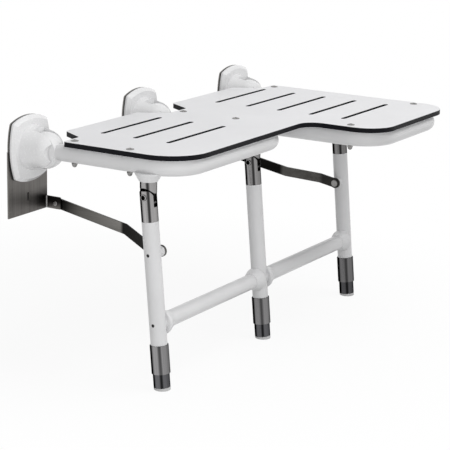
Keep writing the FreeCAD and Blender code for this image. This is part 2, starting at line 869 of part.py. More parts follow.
def foot_insert():
    """Steel foot that slides in the sleeve, closed at its top."""
    body = pipe(foot_radius(), foot_wall, down(foot_top), down(foot_end))
    disc = cylinder(foot_radius() - foot_wall, down(foot_top), down(foot_top + foot_disc))
    return body.fuse(disc).removeSplitter()


def foot_stud():
    return cylinder(foot_stud_diameter / 2, down(foot_top - foot_stud_length), down(foot_top))


def foot_tip(hinge_x):
    """Soft tip, plugged in the foot and cut level with the floor."""
    radius = foot_radius()
    plug = cylinder(radius - foot_wall, down(foot_end - foot_tip_depth), down(foot_end))
    cap = cylinder(radius, down(foot_end), down(foot_end + far))
    tip = on_leg(plug.fuse(cap).removeSplitter(), hinge_x)
    floor = box(
        Vector(hinge_x - far, -leg_hinge_out - far, -floor_drop - 2 * far),
        Vector(hinge_x + far, -leg_hinge_out + far, -floor_drop),
    )
    return tip.cut(floor)


# Struts, built for the left side

def strut_ends():
    """Pivot on the wall lug and pivot on the leg, seen from the side."""
    wall_end = Vector(0, -strut_pivot_out, -strut_pivot_drop)
    leg_end = Vector(0, -leg_hinge_out, -leg_hinge_drop) + leg_direction * strut_leg_place
    return wall_end, leg_end


def strut_bar():
    """Flat bar from the lug to the leg, bent sideways to meet the boss."""
    wall_end, leg_end = strut_ends()
    length = (leg_end - wall_end).Length
    half = strut_height / 2
    eye = strut_eye_diameter / 2
    plan = [(-half, strut_wall_inner), (strut_bend_start, strut_wall_inner)]
    plan += [(strut_bend_end, strut_leg_inner), (length + eye, strut_leg_inner)]
    slope = math.atan2(strut_leg_inner - strut_wall_inner, strut_bend_end - strut_bend_start)
    shift = strut_thickness * math.tan(slope / 2)
    inner_side = [(along, across + strut_thickness) for along, across in plan]
    inner_side[1] = (inner_side[1][0] - shift, inner_side[1][1])
    inner_side[2] = (inner_side[2][0] - shift, inner_side[2][1])
    outline = [Vector(across, -along, -eye) for along, across in plan + inner_side[::-1]]
    flat = Part.Face(Part.makePolygon(outline + [outline[0]]))
    bar = flat.extrude(Vector(0, 0, 2 * eye))
    wide = Vector(far, 0, 0)
    side_view = box(Vector(0, -length, -half), Vector(far, 0, half))
    side_view = side_view.fuse([
        cylinder(half, Vector(0, 0, 0), wide),
        cylinder(eye, Vector(0, -length, 0), wide + Vector(0, -length, 0)),
    ])
    bar = bar.common(side_view)
    for along in (0.0, length):
        start = Vector(0, -along, 0)
        bar = bar.cut(cylinder(strut_pin_diameter / 2, start, start + wide))
    return bar


def on_strut(shape):
    """Turns a shape built along -Y from the wall pivot to the slope of the left strut."""
    wall_end, leg_end = strut_ends()
    line = leg_end - wall_end
    slope = math.degrees(math.atan2(line.z, -line.y))
    placed = shape.copy()
    placed.rotate(Vector(0, 0, 0), Vector(1, 0, 0), -slope)
    placed.translate(wall_end + Vector(-hinge_spacing, 0, 0))
    return placed


def pin_head(start):
    """Low head of a strut pin, rounded at its outer edge."""
    end = start + Vector(strut_pin_head_height, 0, 0)
    head = cylinder(strut_pin_head_diameter / 2, start, end)
    rim = [edge for edge in head.Edges if abs(edge.CenterOfMass.x - end.x) < 1e-6]
    return head.makeFillet(strut_pin_head_rounding, rim)


def strut_pins():
    """Rivet through the lug and the shorter pin at the leg."""
    wall_end, leg_end = strut_ends()
    length = (leg_end - wall_end).Length
    radius = strut_pin_diameter / 2
    tail_end = Vector(lug_face - wall_plate_thickness - strut_pin_head_height, 0, 0)
    rivet_end = Vector(strut_wall_inner + strut_thickness, 0, 0)
    rivet = cylinder(radius, tail_end, rivet_end).fuse(pin_head(rivet_end)).removeSplitter()
    tail = [edge for edge in rivet.Edges if abs(edge.CenterOfMass.x - tail_end.x) < 1e-6]
    rivet = rivet.makeFillet(strut_rivet_tail_rounding, tail)
    pin_start = Vector(strut_leg_inner, -length, 0)
    pin_end = pin_start + Vector(strut_thickness, 0, 0)
    pin = cylinder(radius, pin_start, pin_end).fuse(pin_head(pin_end)).removeSplitter()
    return [rivet, pin]


def strut_washer_ring():
    start = Vector(lug_face, 0, 0)
    end = Vector(strut_wall_inner, 0, 0)
    ring = cylinder(strut_washer_diameter / 2, start, end)
    return ring.cut(cylinder(strut_pin_diameter / 2, start, end))


def moved(shape, x):
    placed = shape.copy()
    placed.translate(Vector(x, 0, 0))
    return placed


def write_wall_side():
    plate = wall_plate()
    save("wall_plate_left", moved(plate, -hinge_spacing))
    save("wall_plate_right", mirrored(moved(plate, -hinge_spacing)))
    save("wall_spacer_middle", spacer())
    bracket = hinge_bracket()
    cover = hinge_cover()
    for name, x in zip(side_names, hinge_places):
        save("hinge_bracket_" + name, moved(bracket, x))
        save("hinge_cover_" + name, moved(cover, x))
    save("hinge_pins", Part.makeCompound([moved(hinge_pin(), x) for x in hinge_places]))


def write_seat():
    core_low = panel_bottom + panel_face_thickness
    core_high = panel_top - panel_face_thickness
    save("panel_bottom_face", panel_layer(panel_bottom, core_low))
    save("panel_core", panel_layer(core_low, core_high))
    save("panel_top_face", panel_layer(core_high, panel_top))
    save("panel_screws", Part.makeCompound([panel_screw(x, y) for x, y in screw_places()]))
    save("panel_cap_nuts", Part.makeCompound([cap_nut(x, y) for x, y in screw_places()]))
    save("seat_loop_short", short_loop(tube_wall).cut(screw_holes()))
    save("seat_loop_long", long_loop(tube_wall).cut(screw_holes()))
    save("rear_rail", rear_rail())
    knuckle = hinge_knuckle()
    bushes = []
    for name, x in zip(side_names, hinge_places):
        save("hinge_knuckle_" + name, moved(knuckle, x))
        bushes += [moved(bush, x) for bush in hinge_bushes()]
        save("leg_tongue_" + name, leg_tongue(x))
    save("hinge_bushes", Part.makeCompound(bushes))
    save("leg_collars", Part.makeCompound([leg_collar(x) for x in hinge_places]))


def write_legs():
    for name, x, outer_side in zip(side_names, hinge_places, (-1, 0, 1)):
        save("leg_fork_" + name, on_leg(leg_fork(), x))
        save("leg_tube_" + name, on_leg(leg_tube(outer_side), x))
        save("foot_sleeve_" + name, on_leg(foot_sleeve(), x))
    save("leg_hinge_bolts", Part.makeCompound([on_leg(knuckle_pin(), x) for x in hinge_places]))
    save("levelling_nuts", Part.makeCompound([on_leg(levelling_nut(), x) for x in hinge_places]))
    screws = [
        on_leg(grub_screw(place, outer_side), outer_side * hinge_spacing)
        for outer_side in (-1, 1)
        for place in leg_screw_places
    ]
    save("leg_grub_screws", Part.makeCompound(screws))
    save("crossbar_left", on_leg(crossbar(-hinge_spacing, 0.0), 0))
    save("crossbar_right", on_leg(crossbar(0.0, hinge_spacing), 0))
    collars = []
    for leg_x, side in ((-hinge_spacing, 1), (0.0, -1), (0.0, 1), (hinge_spacing, -1)):
        collars.append(on_leg(crossbar_collar(leg_x, side), 0))
    save("crossbar_collars", Part.makeCompound(collars))
    boss = on_leg(strut_boss(), -hinge_spacing)
    save("strut_boss_left", boss)
    save("strut_boss_right", mirrored(boss))


def write_struts():
    bar = on_strut(strut_bar())
    save("strut_bar_left", bar)
    save("strut_bar_right", mirrored(bar))
    washer = on_strut(strut_washer_ring())
    save("strut_washer_left", washer)
    save("strut_washer_right", mirrored(washer))
    pins = [on_strut(pin) for pin in strut_pins()]
    save("strut_pins_left", Part.makeCompound(pins))
    save("strut_pins_right", Part.makeCompound([mirrored(pin) for pin in pins]))


def write_feet():
    for name, x in zip(side_names, hinge_places):
        save("foot_insert_" + name, on_leg(foot_insert(), x))
        save("foot_stud_" + name, on_leg(foot_stud(), x))
        save("foot_tip_" + name, foot_tip(x))


os.makedirs("parts", exist_ok=True)
write_wall_side()
write_seat()
write_legs()
write_struts()
write_feet()
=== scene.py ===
import json
import math

import bmesh
import bpy
from bpy.props import FloatProperty, FloatVectorProperty, PointerProperty
from bpy.types import Operator, Panel, PropertyGroup
from mathutils import Matrix, Vector


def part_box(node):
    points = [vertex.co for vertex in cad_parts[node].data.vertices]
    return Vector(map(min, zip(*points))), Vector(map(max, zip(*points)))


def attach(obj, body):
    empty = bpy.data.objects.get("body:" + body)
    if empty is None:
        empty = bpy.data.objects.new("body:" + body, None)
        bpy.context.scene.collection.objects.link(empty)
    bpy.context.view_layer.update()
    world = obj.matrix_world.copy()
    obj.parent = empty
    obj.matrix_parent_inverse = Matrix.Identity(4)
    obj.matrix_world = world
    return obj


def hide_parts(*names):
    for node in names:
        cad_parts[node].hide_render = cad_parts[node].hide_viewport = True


bl_info = {
    "name": "Fold Down Wall Seat",
    "version": (1, 0, 0),
    "blender": (4, 5, 0),
    "location": "View3D > Sidebar > Wall Seat",
    "description": "Finishes the frame of a fold down wall seat and sets it in a studio",
    "category": "Object",
}

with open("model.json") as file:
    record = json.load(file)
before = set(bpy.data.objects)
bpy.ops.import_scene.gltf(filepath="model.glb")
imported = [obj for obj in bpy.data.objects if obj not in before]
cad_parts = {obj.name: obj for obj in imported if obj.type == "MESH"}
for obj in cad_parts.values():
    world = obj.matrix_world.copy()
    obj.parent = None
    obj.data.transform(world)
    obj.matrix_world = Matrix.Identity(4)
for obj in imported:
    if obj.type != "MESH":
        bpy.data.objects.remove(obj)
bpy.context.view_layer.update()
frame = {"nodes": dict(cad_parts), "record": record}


def middle_of(node_name):
    """Middle of a CAD node."""
    low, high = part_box(node_name)
    return (low + high) / 2


SIDES = ("left", "middle", "right")
OUTER_SIDES = ("left", "right")

# Legs: distance from one to the next, middle of their hinges and outward lean
HINGE_SPACING = middle_of("foot_sleeve_right").x
LEG_HINGE = middle_of("leg_hinge_bolts")
LEG_LEAN = math.radians(5.5)

# Cross bars: their height and place out, the end of a collar and the radius of its weld bead
CROSSBAR = middle_of("crossbar_collars")
COLLAR_END = 0.037
WELD_RING_RADIUS = 0.0168

# Leg hinges: radii of the painted shade in the bore of the steel, in the socket of a bolt and in
# the dark gap round the ears, and the softness of their edges
KNUCKLE_BORE_SHADE = 0.0158
BOLT_SOCKET_SHADE = 0.0046
HINGE_GAP_SHADE = 0.0184
SOFT_EDGE = 0.0005
GAP_SOFT_EDGE = 0.0008

# Painted reflections on a leg's steel: a dark line down its front and a dark left edge, as shares
# of a turn
FRONT_REFLECTION_LINE = (0.080, 0.105)
LEFT_REFLECTION_EDGE = (0.825, 0.940)
BAND_SOFTNESS = 0.03

# Painted shade on the leg steel: its tones at the middle and the right leg, where the left one has
# 1, and how far to each side they are reached
SIDEWAYS_SHADE_REACH = 0.42
KNUCKLE_SIDEWAYS_SHADE = (0.75, 0.45)
FOOT_SIDEWAYS_SHADE = (0.8, 0.5)

# Wall plates: lower edge, middle of the slot above it and size of the dark block behind the slot
# that paints the shade inside it
PLATE_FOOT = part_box("wall_plate_left")[0].z
SLOT_RISE = 0.0355
SLOT_SHADE_BLOCK_SIZE = (0.0049, 0.0010, 0.0178)

# Dark reflection of a lug: how far up the plate, how far across, and its tones going up
LUG_SHADOW_HEIGHT = 0.050
LUG_SHADOW_SIDES = (0.337, 0.400)
LUG_SHADOW_TONES = ((0.0, 0.9), (0.3, 0.1), (0.55, 0.1), (1.0, 1.0))

# Lugs: inner corner, along the wall from the hinge and out, height, and gap at a bend's ends
LUG_CORNER = (0.061, -0.003)
LUG_HEIGHT = 0.026
LUG_BEND_GAP = 0.0002

# Painted reflections and shade along each strut: its tones from the wall to its reach, different on
# its straight and bent parts and on each side
STRUT_REACH = 0.32
LEFT_STRUT_PAINTED_TONES = (
    (0.15, 0.06),
    (0.26, 0.4),
    (0.585, 0.8),
    (0.605, 0.06),
    (0.86, 0.06),
    (0.9, 0.5),
)
RIGHT_STRUT_PAINTED_TONES = ((0.57, 0.03), (0.6, 0.35), (0.84, 0.35), (0.87, 0.12))

# Places of the panel screws on the seat
REAR_SCREWS_OUT = -0.121
FRONT_SCREWS_OUT = -0.255
DEEP_SCREWS_OUT = -0.487
SCREW_PLACES = (
    (-HINGE_SPACING, REAR_SCREWS_OUT),
    (-HINGE_SPACING, FRONT_SCREWS_OUT),
    (0.0, REAR_SCREWS_OUT),
    (0.0, FRONT_SCREWS_OUT),
    (HINGE_SPACING, REAR_SCREWS_OUT),
    (HINGE_SPACING, DEEP_SCREWS_OUT),
    (0.089, DEEP_SCREWS_OUT),
)

# Screw heads, as shares of their height: side, each ring as (share of radius, rise), socket
SCREW_SIDE_RISE = 0.28
SCREW_RINGS = ((0.80, 0.26), (0.62, 0.20), (0.44, 0.12))
SCREW_SOCKET_DEPTH = 0.75

# Painted shade on the polished screw heads: the side on which it lies, and where on the radius it
# starts
SCREW_SHADE_SIDE = (0.855, 0.518)
SCREW_SHADE_START = 0.30

# Soft lamps, as place, target and size
KEY_LAMP = ((0.6, -1.6, 2.6), (0.0, -0.25, -0.1), 2.2)
FRONT_LAMP = ((-1.3, -1.5, 0.2), (-0.4, -0.3, -0.2), 0.9)
SIDE_LAMP = ((-1.5, -0.6, 0.15), (-0.4, -0.2, -0.05), 0.7)

# Floor: half its width, the share of even white near the seat, and where that share fades
FLOOR_REACH = 14.0
FLOOR_WHITE_SHARE = 0.92
FLOOR_FADE = (0.55, 1.15)


class SeatSizes(PropertyGroup):
    """Sizes of the finishing details."""

    cover_rounding: FloatProperty(
        name="Cover rounding",
        description="Radius along the edges of the hinge covers",
        default=0.0016,
        unit="LENGTH",
    )
    steel_rounding: FloatProperty(
        name="Steel rounding",
        description="Radius along the edges of the steel knuckles and plates",
        default=0.0006,
        unit="LENGTH",
    )
    ear_rounding: FloatProperty(
        name="Ear rounding",
        description="Radius along the edges of the leg forks",
        default=0.0012,
        unit="LENGTH",
    )
    sheet_rounding: FloatProperty(
        name="Sheet rounding",
        description="Broken edge of the steel sheet parts",
        default=0.0003,
        unit="LENGTH",
    )
    panel_rounding: FloatProperty(
        name="Panel edge",
        description="Broken edge of the laminate panel",
        default=0.0004,
        unit="LENGTH",
    )
    screw_head_diameter: FloatProperty(
        name="Screw head",
        description="Diameter of the panel screw heads",
        default=0.0165,
        unit="LENGTH",
    )
    screw_head_height: FloatProperty(
        name="Screw head height",
        description="Height of the panel screw heads above the panel",
        default=0.0026,
        unit="LENGTH",
    )
    screw_socket: FloatProperty(
        name="Screw socket",
        description="Width of the hexagon socket across its corners",
        default=0.0046,
        unit="LENGTH",
    )
    weld_bead: FloatProperty(
        name="Weld bead",
        description="Radius of the weld beads under the coating",
        default=0.0016,
        unit="LENGTH",
    )
    lug_bend: FloatProperty(
        name="Lug bend",
        description="Inside radius where a lug is bent out of its wall plate",
        default=0.0028,
        unit="LENGTH",
    )
    tip_rounding: FloatProperty(
        name="Foot tip rounding",
        description="Radius round the lower edge of a foot tip",
        default=0.0012,
        unit="LENGTH",
    )


class SeatColours(PropertyGroup):
    """Colours of the finishes, as linear values."""

    laminate: FloatVectorProperty(
        name="Laminate face",
        description="White face of the panel",
        default=(0.79, 0.79, 0.805),
        subtype="COLOR",
    )
    laminate_core: FloatVectorProperty(
        name="Laminate core",
        description="Black core of the panel",
        default=(0.005, 0.005, 0.007),
        subtype="COLOR",
    )
    powder_coat: FloatVectorProperty(
        name="Powder coat",
        description="White coating of the tube frame",
        default=(0.67, 0.67, 0.675),
        subtype="COLOR",
    )
    cover: FloatVectorProperty(
        name="Hinge cover",
        description="White of the hinge covers",
        default=(0.765, 0.765, 0.77),
        subtype="COLOR",
    )
    plate_steel: FloatVectorProperty(
        name="Plate steel",
        description="Brushed steel of the wall plates",
        default=(0.21, 0.20, 0.19),
        subtype="COLOR",
    )
    polished_steel: FloatVectorProperty(
        name="Polished steel",
        description="Steel of the screws, bolts and rivets",
        default=(0.30, 0.295, 0.29),
        subtype="COLOR",
    )
    knuckle: FloatVectorProperty(
        name="Knuckle steel",
        description="Polished steel of the leg hinges",
        default=(0.50, 0.49, 0.49),
        subtype="COLOR",
    )
    sleeve: FloatVectorProperty(
        name="Sleeve steel",
        description="Satin steel of the foot sleeves",
        default=(0.36, 0.355, 0.36),
        subtype="COLOR",
    )
    foot: FloatVectorProperty(
        name="Foot steel",
        description="Dark polished steel of the feet",
        default=(0.17, 0.17, 0.18),
        subtype="COLOR",
    )
    # Steel of the struts, darkened along each strut by the painted reflections and shade
    strut_steel: FloatVectorProperty(
        name="Strut steel",
        description="Lighter part of the strut bars",
        default=(0.27, 0.26, 0.245),
        subtype="COLOR",
    )
    bracket_steel: FloatVectorProperty(
        name="Bracket steel",
        description="Dark steel of the hinge brackets and nuts",
        default=(0.06, 0.06, 0.06),
        subtype="COLOR",
    )
    bush: FloatVectorProperty(
        name="Bearing plastic",
        description="Natural plastic of bushes and washers",
        default=(0.62, 0.61, 0.56),
        subtype="COLOR",
    )
    foot_tip: FloatVectorProperty(
        name="Foot tip",
        description="Pale grey soft plastic of the foot tips",
        default=(0.55, 0.55, 0.55),
        subtype="COLOR",
    )


class SeatStudio(PropertyGroup):
    """Camera and light."""

    lens: FloatProperty(
        name="Lens",
        description="Focal length for a 36 mm sensor",
        default=134.603,
        unit="CAMERA",
    )
    camera_place: FloatVectorProperty(
        name="Camera place",
        description="Where the camera stands",
        default=(-3.0534, -2.0815, 0.7093),
        subtype="TRANSLATION",
        unit="LENGTH",
    )
    camera_turn: FloatProperty(
        name="Camera turn",
        description="Turn of the camera about the vertical, from looking along +Y",
        default=math.radians(-58.819),
        subtype="ANGLE",
    )
    camera_fall: FloatProperty(
        name="Camera fall",
        description="Angle at which the camera looks down",
        default=math.radians(14.469),
        subtype="ANGLE",
    )
    camera_roll: FloatProperty(
        name="Camera roll",
        description="Roll of the camera about its own line of sight",
        default=math.radians(1.202),
        subtype="ANGLE",
    )
    sky_light: FloatProperty(
        name="Surrounding light",
        description="Strength of the even light from all sides",
        default=0.35,
    )
    key_light: FloatProperty(
        name="Key light",
        description="Power of the large soft lamp above the seat",
        default=62.0,
        subtype="POWER",
    )
    fill_light: FloatProperty(
        name="Fill light",
        description="Power of the soft lamp in front",
        default=6.2,
        subtype="POWER",
    )
    side_light: FloatProperty(
        name="Side light",
        description="Power of the soft lamp at the left of the seat",
        default=3.4,
        subtype="POWER",
    )


# Node trees of the finishes


def new_finish(name, colour, roughness, metallic=0.0):
    """Material with its main shader set."""
    material = bpy.data.materials.new(f"{name}_finish")
    material.use_nodes = True
    shader = material.node_tree.nodes["Principled BSDF"]
    shader.inputs["Base Color"].default_value = (*colour, 1.0)
    shader.inputs["Roughness"].default_value = roughness
    shader.inputs["Metallic"].default_value = metallic
    material.diffuse_color = (*colour, 1.0)
    return material


def shader_of(material):
    """Main shader of a material."""
    return material.node_tree.nodes["Principled BSDF"]


def stretched_noise(material, scale, detail=4.0, roughness=0.55, turn=(0.0, 0.0, 0.0)):
    """Noise on Object coordinates, turned and then stretched by a scale for each axis."""
    nodes = material.node_tree.nodes
    links = material.node_tree.links
    coordinates = nodes.new("ShaderNodeTexCoord")
    turned = nodes.new("ShaderNodeMapping")
    turned.inputs["Rotation"].default_value = turn
    stretched = nodes.new("ShaderNodeMapping")
    stretched.inputs["Scale"].default_value = scale
    noise = nodes.new("ShaderNodeTexNoise")
    noise.inputs["Scale"].default_value = 1.0
    noise.inputs["Detail"].default_value = detail
    noise.inputs["Roughness"].default_value = roughness
    links.new(coordinates.outputs["Object"], turned.inputs["Vector"])
    links.new(turned.outputs["Vector"], stretched.inputs["Vector"])
    links.new(stretched.outputs["Vector"], noise.inputs["Vector"])
    return noise.outputs["Fac"]


def ranged(material, value, low, high, start=0.3, end=0.7):
    """Maps a 0 to 1 pattern onto a range of values."""
    node = material.node_tree.nodes.new("ShaderNodeMapRange")
    node.inputs["From Min"].default_value = start
    node.inputs["From Max"].default_value = end
    node.inputs["To Min"].default_value = low
    node.inputs["To Max"].default_value = high
    material.node_tree.links.new(value, node.inputs["Value"])
    return node.outputs["Result"]


def shaded(material, value, dark, light, start=0.3, end=0.7):
    """Colours a pattern from a dark to a light tone."""
    ramp = material.node_tree.nodes.new("ShaderNodeValToRGB")
    ramp.color_ramp.elements[0].position = start
    ramp.color_ramp.elements[0].color = (*dark, 1.0)
    ramp.color_ramp.elements[1].position = end
    ramp.color_ramp.elements[1].color = (*light, 1.0)
    material.node_tree.links.new(value, ramp.inputs["Fac"])
    return ramp.outputs["Color"]


def multiplied(material, first, second):
    """Product of two colours."""
    mix = material.node_tree.nodes.new("ShaderNodeMix")
    mix.data_type = "RGBA"
    mix.blend_type = "MULTIPLY"
    mix.inputs["Factor"].default_value = 1.0
    material.node_tree.links.new(first, mix.inputs["A"])
    material.node_tree.links.new(second, mix.inputs["B"])
    return mix.outputs["Result"]


def added_bump(material, height, depth, strength=1.0):
    """Bump from a pattern, laid over any bump that is there already."""
    tree = material.node_tree
    shader = shader_of(material)
    bump = tree.nodes.new("ShaderNodeBump")
    bump.inputs["Strength"].default_value = strength
    bump.inputs["Distance"].default_value = depth
    tree.links.new(height, bump.inputs["Height"])
    if shader.inputs["Normal"].links:
        tree.links.new(shader.inputs["Normal"].links[0].from_socket, bump.inputs["Normal"])
    tree.links.new(bump.outputs["Normal"], shader.inputs["Normal"])


def set_colour(material, colour):
    """Gives the main shader its colour."""
    material.node_tree.links.new(colour, shader_of(material).inputs["Base Color"])


def set_roughness(material, value):
    """Gives the main shader its roughness."""
    material.node_tree.links.new(value, shader_of(material).inputs["Roughness"])


def toned(colour, factor):
    """A colour made darker or lighter by a factor."""
    return tuple(min(part * factor, 1.0) for part in colour)


def laminate_face_finish(colour):
    """Satin laminate with a fine pearl texture."""
    material = new_finish("laminate_white", colour, 0.42)
    clouds = stretched_noise(material, (7.0, 7.0, 7.0), detail=5.0)
    pearl = stretched_noise(material, (900.0, 900.0, 900.0), detail=2.0)
    cloud_tone = shaded(material, clouds, toned(colour, 0.965), toned(colour, 1.02))
    pearl_tone = shaded(material, pearl, (0.965, 0.965, 0.965), (1.0, 1.0, 1.0))
    set_colour(material, multiplied(material, cloud_tone, pearl_tone))
    set_roughness(material, ranged(material, pearl, 0.36, 0.50))
    added_bump(material, pearl, 0.00003, 0.5)
    return material


def laminate_core_finish(colour):
    """Black core with the fine lines of its pressed layers."""
    material = new_finish("laminate_core", colour, 0.46)
    shader_of(material).inputs["Specular IOR Level"].default_value = 0.10
    layers = stretched_noise(material, (9.0, 9.0, 3800.0), detail=3.0)
    dust = stretched_noise(material, (420.0, 420.0, 420.0), detail=3.0)
    layer_tone = shaded(material, layers, toned(colour, 0.7), toned(colour, 1.5))
    dust_tone = shaded(material, dust, (0.75, 0.75, 0.75), (1.0, 1.0, 1.0))
    set_colour(material, multiplied(material, layer_tone, dust_tone))
    set_roughness(material, ranged(material, layers, 0.40, 0.55))
    added_bump(material, layers, 0.00003, 0.4)
    return material


def powder_coat_finish(colour):
    """Smooth powder coat with a light orange peel."""
    material = new_finish("white_coat", colour, 0.34)
    shader = shader_of(material)
    shader.inputs["Coat Weight"].default_value = 0.25
    shader.inputs["Coat Roughness"].default_value = 0.18
    peel = stretched_noise(material, (330.0, 330.0, 330.0), detail=2.0)
    clouds = stretched_noise(material, (14.0, 14.0, 14.0), detail=4.0)
    set_colour(material, shaded(material, clouds, toned(colour, 0.97), toned(colour, 1.02)))
    set_roughness(material, ranged(material, peel, 0.29, 0.40))
    added_bump(material, peel, 0.00010, 0.35)
    return material


def cover_finish(colour):
    """Glossy white of the hinge covers."""
    material = new_finish("white_cover", colour, 0.24)
    shader = shader_of(material)
    shader.inputs["Coat Weight"].default_value = 0.6
    shader.inputs["Coat Roughness"].default_value = 0.12
    peel = stretched_noise(material, (240.0, 240.0, 240.0), detail=2.0)
    clouds = stretched_noise(material, (18.0, 18.0, 18.0), detail=4.0)
    set_colour(material, shaded(material, clouds, toned(colour, 0.975), toned(colour, 1.02)))
    set_roughness(material, ranged(material, peel, 0.20, 0.30))
    added_bump(material, peel, 0.00004, 0.15)
    return material


def brushed_finish(name, colour, roughness, lines, turn=(0.0, 0.0, 0.0), contrast=0.3):
    """Steel with fine brush lines along the axis in which the pattern is least stretched."""
    material = new_finish(name, colour, roughness, 1.0)
    shader_of(material).inputs["Anisotropic"].default_value = 0.45
    fine = stretched_noise(material, lines, detail=5.0, turn=turn)
    wide = stretched_noise(material, tuple(part * 0.16 for part in lines), detail=2.0, turn=turn)
    fine_tone = shaded(material, fine, toned(colour, 1.0 - contrast), toned(colour, 1.0 + contrast))
    wide_tone = shaded(material, wide, (0.78, 0.78, 0.78), (1.0, 1.0, 1.0))
    set_colour(material, multiplied(material, fine_tone, wide_tone))
    set_roughness(material, ranged(material, fine, roughness - 0.06, roughness + 0.10))
    added_bump(material, fine, 0.00003, 0.4)
    return material


def leg_space(material):
    """Object coordinates moved to the centre line of the nearest leg, with the leg upright."""
    nodes = material.node_tree.nodes
    links = material.node_tree.links
    coordinates = nodes.new("ShaderNodeTexCoord")
    parts = nodes.new("ShaderNodeSeparateXYZ")
    nearest = nodes.new("ShaderNodeMath")
    nearest.operation = "WRAP"
    nearest.inputs[1].default_value = HINGE_SPACING / 2
    nearest.inputs[2].default_value = -HINGE_SPACING / 2
    joined = nodes.new("ShaderNodeCombineXYZ")
    moved = nodes.new("ShaderNodeVectorMath")
    moved.operation = "SUBTRACT"
    moved.inputs[1].default_value = (0.0, LEG_HINGE.y, LEG_HINGE.z)
    upright = nodes.new("ShaderNodeMapping")
    upright.inputs["Rotation"].default_value = (LEG_LEAN, 0.0, 0.0)
    links.new(coordinates.outputs["Object"], parts.inputs["Vector"])
    links.new(parts.outputs["X"], nearest.inputs[0])
    links.new(nearest.outputs["Value"], joined.inputs["X"])
    links.new(parts.outputs["Y"], joined.inputs["Y"])
    links.new(parts.outputs["Z"], joined.inputs["Z"])
    links.new(joined.outputs["Vector"], moved.inputs[0])
    links.new(moved.outputs["Vector"], upright.inputs["Vector"])
    return upright.outputs["Vector"]


def object_part(material, axis):
    """One of the Object coordinates."""
    nodes = material.node_tree.nodes
    coordinates = nodes.new("ShaderNodeTexCoord")
    parts = nodes.new("ShaderNodeSeparateXYZ")
    material.node_tree.links.new(coordinates.outputs["Object"], parts.inputs["Vector"])
    return parts.outputs[axis]


def darkened(material, tone):
    """Multiplies the base colour, which is linked already, by a tone."""
    base = shader_of(material).inputs["Base Color"].links[0].from_socket
    set_colour(material, multiplied(material, base, tone))


def painted_shade_along_wall(material, middle, right):
    """Paints shade on the steel, darker from the left side of the seat to its middle and its right
    side.
    """
    sideways = object_part(material, "X")
    place = ranged(material, sideways, 0.0, 1.0, start=-SIDEWAYS_SHADE_REACH, end=SIDEWAYS_SHADE_REACH)
    darkened(material, tone_ramp(material, place, ((0.0, 1.0), (0.5, middle), (1.0, right))))


def distance_from_axis(material, across):
    """Distance from an axis through a leg's hinge, measured along the axes marked 1."""
    nodes = material.node_tree.nodes
    links = material.node_tree.links
    flat = nodes.new("ShaderNodeVectorMath")
    flat.operation = "MULTIPLY"
    flat.inputs[1].default_value = across
    reach = nodes.new("ShaderNodeVectorMath")
    reach.operation = "LENGTH"
    links.new(leg_space(material), flat.inputs[0])
    links.new(flat.outputs["Vector"], reach.inputs[0])
    return reach.outputs["Value"]


def painted_shade_within(material, reach, radius, softness, tone):
    """Paints shade on the steel within a distance of an axis."""
    inside = ranged(material, reach, 0.0, 1.0, start=radius, end=radius + softness)
    darkened(material, tone_ramp(material, inside, ((0.0, tone), (1.0, 1.0))))


def tone_ramp(material, value, stops):
    """Grey tones along a 0 to 1 pattern, as (place, tone) stops."""
    ramp = material.node_tree.nodes.new("ShaderNodeValToRGB")
    points = ramp.color_ramp.elements
    while len(points) < len(stops):
        points.new(0.5)
    for point, (place, tone) in zip(points, stops):
        point.position = place
        point.color = (tone, tone, tone, 1.0)
    material.node_tree.links.new(value, ramp.inputs["Fac"])
    return ramp.outputs["Color"]


def leg_reflection_bands(line, edge):
    """Painted reflection tones round a leg: light steel with a dark line in front and a dark left
    edge.
    """
    return (
        (0.0, 0.9),
        (FRONT_REFLECTION_LINE[0] - BAND_SOFTNESS, 0.8),
        (FRONT_REFLECTION_LINE[0], line),
        (FRONT_REFLECTION_LINE[1], line),
        (FRONT_REFLECTION_LINE[1] + BAND_SOFTNESS, 0.9),
        (0.35, 0.5),
        (LEFT_REFLECTION_EDGE[0] - BAND_SOFTNESS, 0.5),
        (LEFT_REFLECTION_EDGE[0], edge),
        (LEFT_REFLECTION_EDGE[1], edge),
        (LEFT_REFLECTION_EDGE[1] + BAND_SOFTNESS, 0.8),
        (1.0, 0.9),
    )


def reflection_banded_finish(name, colour, roughness, bands, sideways_shade):
    """Polished round steel with painted reflection bands down the leg and painted shade along the
    wall.
    """
    material = brushed_finish(
        name, colour, roughness, (420.0, 420.0, 9.0), turn=(LEG_LEAN, 0.0, 0.0), contrast=0.16
    )
    shader_of(material).inputs["Specular Tint"].default_value = (0.25, 0.25, 0.25, 1.0)
    around = material.node_tree.nodes.new("ShaderNodeTexGradient")
    around.gradient_type = "RADIAL"
    material.node_tree.links.new(leg_space(material), around.inputs["Vector"])
    darkened(material, tone_ramp(material, around.outputs["Fac"], bands))
    painted_shade_along_wall(material, *sideways_shade)
    return material


def knuckle_finish(name, colour, gap_shade=False):
    """Steel of the leg hinges with painted reflection bands, painted shade in its bore and, on a
    tongue, painted shade in the gap round the ears.
    """
    bands = leg_reflection_bands(line=0.1, edge=0.03)
    material = reflection_banded_finish(name, colour, 0.22, bands, KNUCKLE_SIDEWAYS_SHADE)
    from_leg_axis = distance_from_axis(material, (1.0, 1.0, 0.0))
    painted_shade_within(material, from_leg_axis, KNUCKLE_BORE_SHADE, SOFT_EDGE, 0.03)
    if gap_shade:
        from_bolt = distance_from_axis(material, (0.0, 1.0, 1.0))
        painted_shade_within(material, from_bolt, HINGE_GAP_SHADE, GAP_SOFT_EDGE, 0.03)
    return material


def bolt_finish(colour):
    """Steel of the hinge bolts, with painted shade inside the socket."""
    material = brushed_finish("bolt_steel", colour, 0.30, (600.0, 600.0, 600.0))
    from_bolt = distance_from_axis(material, (0.0, 1.0, 1.0))
    painted_shade_within(material, from_bolt, BOLT_SOCKET_SHADE, SOFT_EDGE, 0.02)
    return material


